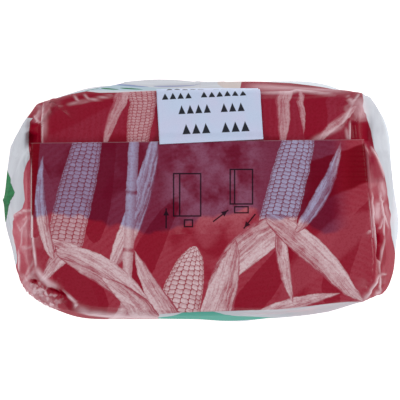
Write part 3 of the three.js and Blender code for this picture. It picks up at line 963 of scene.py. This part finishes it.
def line_mark(x, y, start, end):
    """1 on a straight pen stroke."""
    along, side = lying_along(x, y, start, end)
    past = (abs(along - 0.5) - 0.5) * math.dist(start, end)
    return 1 - abs(side).most(past).ramp(PEN * 0.6, PEN)


def frame_mark(x, y, middle, width, height):
    """1 on the outline of an upright box."""
    past = (abs(x - middle[0]) - width / 2).most(abs(y - middle[1]) - height / 2)
    return 1 - abs(past).ramp(PEN * 0.6, PEN)


def arrow_mark(x, y, start, end):
    """1 on an arrow: a stroke with a pointed head."""
    along, side = lying_along(x, y, start, end)
    from_tip = (1 - along) * math.dist(start, end)
    in_head = (1 - from_tip.ramp(1.8, 2.0)) * from_tip.ramp(0.0, 0.1)
    return line_mark(x, y, start, end).most((from_tip * 0.5 - abs(side)).ramp(0.0, 0.15) * in_head)


# Plain pictograms on the fin: places of their middles or ends, and the sizes of their boxes.
PICTOGRAMS = (
    (frame_mark, (-3.4, 2.2), 8.0, 12.5),
    (line_mark, (-5.6, 8.4), (-5.6, -4.0)),
    (frame_mark, (-3.0, -6.2), 2.4, 2.0),
    (arrow_mark, (-9.6, -7.5), (-9.6, -2.0)),
    (frame_mark, (12.6, 4.6), 6.6, 10.2),
    (line_mark, (10.6, 9.6), (10.6, -0.4)),
    (frame_mark, (12.6, -2.2), 4.0, 1.8),
    (arrow_mark, (4.4, -5.6), (8.6, -2.4)),
    (arrow_mark, (16.6, -3.6), (13.4, -7.6)),
)

# The fin's print: the front film's, with a plain red field at the right, a mottled middle and a red left end.
fin_print = new_material("printed_fin_film")
blank = Ink(fin_print.node_tree)
place = blank.attribute("flat_film", "Vector")
spot = print_place(place)
x, y, _ = spot
right_field = (x * 0.326 + 1.35 - y).ramp(-0.4, 0.4) * (y - x * 0.41 + 14.5).ramp(-0.6, 0.6)
ground = red_ground(place, spot).under(FIELD_RED, x.ramp(29.0, 34.0) * right_field * 0.9)
colour = print_motifs(ground, spot, FRONT_PRINT)
x, y, _ = place.parts()
mottle = place.noise(0.11, 3.0, 0.6)
in_middle = 1 - abs(x - 4.0).ramp(10.0, 17.0)
colour = colour.under(MAUVE, mottle.ramp(0.43, 0.6) * in_middle * (y.ramp(-9.0, 1.0) * 0.5 + 0.35))
colour = colour.under(DEEP_RED, (1 - mottle.ramp(0.36, 0.46)) * in_middle * 0.7)
colour = colour.under(END_RED, x.ramp(41.0, 46.0) * right_field * 0.97)
colour = colour.tinted(FIN_TINT, fin_tone(x, y, place))
colour = colour.under(END_RED, 1 - (x - y * 0.09).ramp(-48.6, -48.3))
colour = print_grain(colour, place)
pen_marks = reduce(Ink.most, (mark(x, y, *sizes) for mark, *sizes in PICTOGRAMS))
colour = colour.under(PEN_INK, pen_marks * 0.92)

# The fin's edges are stretched and pale, painted as highlights along the free edge and both ends.
from_edge = FIN_EDGE + x * (FIN_SLANT / FIN_WIDTH) - y
colour = colour.under(STRETCHED_GLINT, (1 - from_edge.ramp(0.05, 0.3)) * 0.15)
from_left = x - FIN_LEFT
colour = colour.under(STRETCHED_GLINT, (1 - from_left.ramp(0.1, 0.35)) * (1 - y.ramp(9.0, 14.0)) * 0.9)
colour = colour.under(STRETCHED_GLINT, (1 - from_left.ramp(0.4, 0.8)) * (1 - y.ramp(-4.5, -3.5)))
from_right = FIN_RIGHT - FIN_RIGHT_SLANT * y - x
colour = colour.under(STRETCHED_GLINT, (1 - from_right.ramp(0.1, 0.35)) * (1 - y.ramp(-2.0, 4.0)) * 0.5)
film_finish(fin_print, colour, place, roughness=0.25, sheen=0.22)

# The ribs of the seal, raised on the fin's face by a node tree.
crimp = bpy.data.node_groups.new("crimp_ribs", "GeometryNodeTree")
sizes = {"Rib pitch": RIB_PITCH, "Rib depth": RIB_DEPTH, "Seal start": SEAL_FROM, "Seal end": SEAL_TO}


def group_socket(name, kind, way="INPUT"):
    return crimp.interface.new_socket(name, in_out=way, socket_type="NodeSocket" + kind)


group_socket("Geometry", "Geometry")
size_sockets = {name: group_socket(name, "Float") for name in sizes}
film_socket = group_socket("Film", "Material")
group_socket("Geometry", "Geometry", "OUTPUT")
group_input = crimp.nodes.new("NodeGroupInput")
given = {socket.name: Ink(crimp, socket) for socket in group_input.outputs if socket.name}
blank = Ink(crimp)
_, deep_place, _ = blank.node("GeometryNodeInputPosition").parts()
is_face = blank.node("GeometryNodeInputNamedAttribute", {"data_type": "FLOAT"}, {"Name": "is_face"})
wave = (deep_place / given["Rib pitch"] * (2 * math.pi)).sine()
past_start = ((deep_place - given["Seal start"]) * (SEAL_EDGE / MM)).clip()
before_end = ((given["Seal end"] - deep_place) * (SEAL_EDGE / MM)).clip()
rise = wave * given["Rib depth"] * (past_start * before_end) * is_face
offset = blank.node("ShaderNodeCombineXYZ", None, {"Z": rise})
ribbed = blank.node("GeometryNodeSetPosition", None, {"Geometry": given["Geometry"], "Offset": offset})
real = blank.node("GeometryNodeRealizeInstances", None, {"Geometry": ribbed})
inked = blank.node("GeometryNodeSetMaterial", None, {"Geometry": real, "Material": given["Film"]})
crimp.links.new(inked.socket, crimp.nodes.new("NodeGroupOutput").inputs[0])

ribs = fin_blank.modifiers.new("crimp", "NODES")
ribs.node_group = crimp
for name, size in sizes.items():
    ribs[size_sockets[name].identifier] = size * MM
ribs[film_socket.identifier] = fin_print
ready = fin_blank.evaluated_get(bpy.context.evaluated_depsgraph_get())
fin = bpy.data.objects.new("sealed_fin", bpy.data.meshes.new_from_object(ready))
fin.data.shade_smooth()
bpy.data.objects.remove(fin_blank)
bpy.context.scene.collection.objects.link(fin)
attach(fin, "root")

# The label: a strip of white paper, stuck over the fin's free edge, over the back edge of the bag and down
# its back, to hold the fin shut. It carries plain rows of arrow marks.
LABEL_WIDTH, LABEL_AT = 30.6, 3.75
LABEL_FRONT, LABEL_SLANT, LABEL_DROP, LABEL_SKEW = 17.8, 1.5, 26.0, 0.055
LABEL_THICKNESS, LABEL_GAP, LABEL_RAMP = 0.3, 0.3, 3.0
LABEL_PUCKER, LABEL_CURL, LABEL_BEND = 0.1, 0.25, 0.12
LABEL_CELLS_ACROSS, LABEL_CELLS_ALONG, FITTING_STEPS = 62, 130, 5
PAPER_BLUE, PAPER_WHITE, LABEL_INK = paint(206, 220, 246), paint(212, 217, 244), paint(10, 10, 18)
PAPER_TINT = (0.93, 0.94, 0.96, 1.0)
# The rows of arrow marks: where each starts across and along, how many stand before and after its gap, their
# pitch and their height.
ARROW_ROWS = (
    (-8.6, 2.6, (3, 3), 2.9, 3.2),
    (-9.4, 8.6, (4, 3), 2.5, 2.8),
    (-14.0, 13.1, (4, 6), 2.3, 1.9),
    (-12.6, 16.2, (5, 4), 2.3, 1.6),
)


def back_film(x, run):
    """The back half of the bag at a given place across: over the top up to 1, and on down the back to 2."""
    over = np.clip(run, 0, 1)
    top_turn = np.pi / 2 * (1 - np.clip((run - 1) / LABEL_BEND, 0, 1))
    along = np.clip((run - 1 - LABEL_BEND) / (1 - LABEL_BEND), 0, 1)
    share_across = 2 * x / TOP_WIDTH
    for _ in range(FITTING_STEPS):
        on_top = top_film(share_across, over)
        on_wall = wall_film(share_across, np.ones_like(over), top_turn, along, 0.0)
        at = np.where((run < 1)[..., None], on_top, on_wall)
        share_across = share_across + 2 * (x - at[..., 0]) / BELLY_WIDTH
    return at


label_share = np.linspace(-0.5, 0.5, LABEL_CELLS_ACROSS + 1)
front_run = (LABEL_FRONT + LABEL_SLANT * label_share) / (TOP_DEPTH / 2 - TOP_BACK_SET - TOP_EDGE_RADIUS)
end_run = 1 + LABEL_BEND + (1 - LABEL_BEND) * LABEL_DROP / (HEIGHT - 2 * EDGE_RADIUS)
way = np.linspace(0, 1, LABEL_CELLS_ALONG + 1)[:, None]
run = front_run[None, :] + (end_run - front_run[None, :]) * way
skew = LABEL_SKEW * (run - front_run[None, :]) * TOP_DEPTH / 2
across_mm = LABEL_AT + label_share[None, :] * LABEL_WIDTH - skew
middle = back_film(across_mm, run)
sideways = back_film(across_mm + 0.5, run) - back_film(across_mm - 0.5, run)
onward = back_film(across_mm, run + 0.004) - back_film(across_mm, run - 0.004)
label_out = np.cross(sideways, onward)
label_out /= np.linalg.norm(label_out, axis=-1, keepdims=True)
fin_edge_here = FIN_EDGE + FIN_SLANT * middle[..., 0] / FIN_WIDTH
over_fin = 1 - smooth_step(middle[..., 1], fin_edge_here + 0.3, fin_edge_here + LABEL_RAMP)
lift = LABEL_GAP + np.where(run < 1, FIN_STEP * over_fin, 0)
pucker = LABEL_PUCKER * np.sin(across_mm * 0.8 + 1.0) * np.exp(-((run - 1.05) / 0.08) ** 2)
curl = LABEL_CURL * np.abs(2 * label_share[None, :]) ** 10 * (1 - way) ** 3
under = middle + label_out * (lift + pucker + curl)[..., None]
upper = under + label_out * LABEL_THICKNESS
label_points = np.concatenate([upper.reshape(-1, 3), under.reshape(-1, 3)])
label = mesh_piece("paper_label", label_points + in_frame, sheet_faces(run.shape))
travel = way_along(middle)
label_flat = np.stack([across_mm + skew - LABEL_AT, travel, np.zeros_like(travel)], axis=-1).reshape(-1, 3)
keep_on_points(label, "flat_label", "FLOAT_VECTOR", np.concatenate([label_flat, label_flat]))


def arrow_row(x, y, start, foot, counts, pitch, height):
    """1 on a row of solid arrow heads that point along the label, in two groups with a gap between them."""
    half_row = (sum(counts) + 1) / 2
    share = (x - start) / pitch
    cell = share.whole()
    rise = (y - foot) / height
    from_side = (1 - rise) * (0.45 * pitch) - abs(share - cell - 0.5) * pitch
    in_row = 1 - abs(share - half_row).ramp(half_row - 0.05, half_row)
    off_gap = abs(cell - counts[0]).ramp(0.4, 0.6)
    return from_side.ramp(0.0, 0.15) * rise.ramp(-0.03, 0.03) * (in_row * off_gap)


label_paper = new_material("label_paper")
blank = Ink(label_paper.node_tree)
place = blank.attribute("flat_label", "Vector")
x, y, _ = place.parts()
marks = reduce(Ink.most, (arrow_row(x, y, *row) for row in ARROW_ROWS))
paper = place.noise(0.12, 2.0).ramp(0.35, 0.65).blend(PAPER_BLUE, PAPER_WHITE)
paper = paper.tinted(PAPER_TINT, place.noise(3.0, 3.0, 0.7).ramp(0.4, 0.7))
paper = paper.under(LABEL_INK, marks * 0.97)
fibres = place.noise(1.6, 4.0, 0.65)
bump = blank.node("ShaderNodeBump", None, {"Strength": 0.25, "Distance": 0.2 * MM, "Height": fibres})
shader = label_paper.node_tree.nodes["Principled BSDF"]
shader.inputs["Specular IOR Level"].default_value = 0.12
for socket, value in (("Base Color", paper), ("Roughness", fibres * 0.15 + 0.45), ("Normal", bump)):
    label_paper.node_tree.links.new(value.socket, shader.inputs[socket])
label.data.materials.append(label_paper)
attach(label, "root")
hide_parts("label")

# The stage: a plain pale floor, a dim white surround and four soft lamps round the bag, with the camera above
# it. Lengths of the floor and the lamps are in metres.
FLOOR_REACH, LAMP_SIZE = 4.0, 0.5
FLOOR_LOOK = {
    "Base Color": (0.9, 0.9, 0.9, 1), "Roughness": 0.9,
    "Emission Color": (1, 1, 1, 1), "Emission Strength": 0.72,
}
SURROUND_LOOK = {"Color": (1.0, 1.0, 1.0, 1), "Strength": 0.22}
floor_corners = np.array([(-1, -1, 0), (1, -1, 0), (1, 1, 0), (-1, 1, 0)]) * (FLOOR_REACH / MM)
floor = mesh_piece("floor", floor_corners, [(0, 1, 2, 3)])
floor_paint = new_material("pale_floor")
for socket, value in FLOOR_LOOK.items():
    floor_paint.node_tree.nodes["Principled BSDF"].inputs[socket].default_value = value
floor.data.materials.append(floor_paint)

surround = bpy.data.worlds.new("white_surround")
surround.use_nodes = True
for socket, value in SURROUND_LOOK.items():
    surround.node_tree.nodes["Background"].inputs[socket].default_value = value
bpy.context.scene.world = surround
bag_middle = (cad_low + cad_high) / 2
LAMPS = {
    "right_lamp": ((1.0, 0.2, 1.1), 7.0),
    "left_lamp": ((-1.0, 0.1, 1.1), 4.2),
    "front_lamp": ((0.1, -1.0, 1.1), 2.9),
    "back_lamp": ((-0.1, 1.0, 1.1), 2.6),
}
for name, (stand, power) in LAMPS.items():
    lamp = bpy.data.lights.new(name, "AREA")
    lamp.shape = "SQUARE"
    lamp.size = LAMP_SIZE
    lamp.energy = power
    holder = bpy.data.objects.new(name, lamp)
    holder.location = stand
    holder.rotation_euler = (bag_middle - holder.location).to_track_quat("-Z", "Y").to_euler()
    bpy.context.scene.collection.objects.link(holder)

PIXELS, PIXEL_SIZE = 400, 0.295
CAMERA_ABOVE, CAMERA_TILT, AIM_BELOW_TOP, AIM_BACK = 1300.0, 0.7, 20.0, 0.4
camera = bpy.data.cameras.new("camera")
camera.sensor_width = 36.0
camera.lens = camera.sensor_width * CAMERA_ABOVE / PIXEL_SIZE / PIXELS
camera.clip_end = 20.0
viewer = bpy.data.objects.new("camera", camera)
tilt = math.radians(CAMERA_TILT)
distance = CAMERA_ABOVE + AIM_BELOW_TOP
camera_height = HEIGHT - AIM_BELOW_TOP + math.cos(tilt) * distance
viewer.location = (0, (math.sin(tilt) * distance + AIM_BACK) * MM, camera_height * MM)
viewer.rotation_euler = (-tilt, 0, 0)
bpy.context.scene.collection.objects.link(viewer)
bpy.context.scene.camera = viewer
bpy.context.scene.view_settings.view_transform = "Standard"
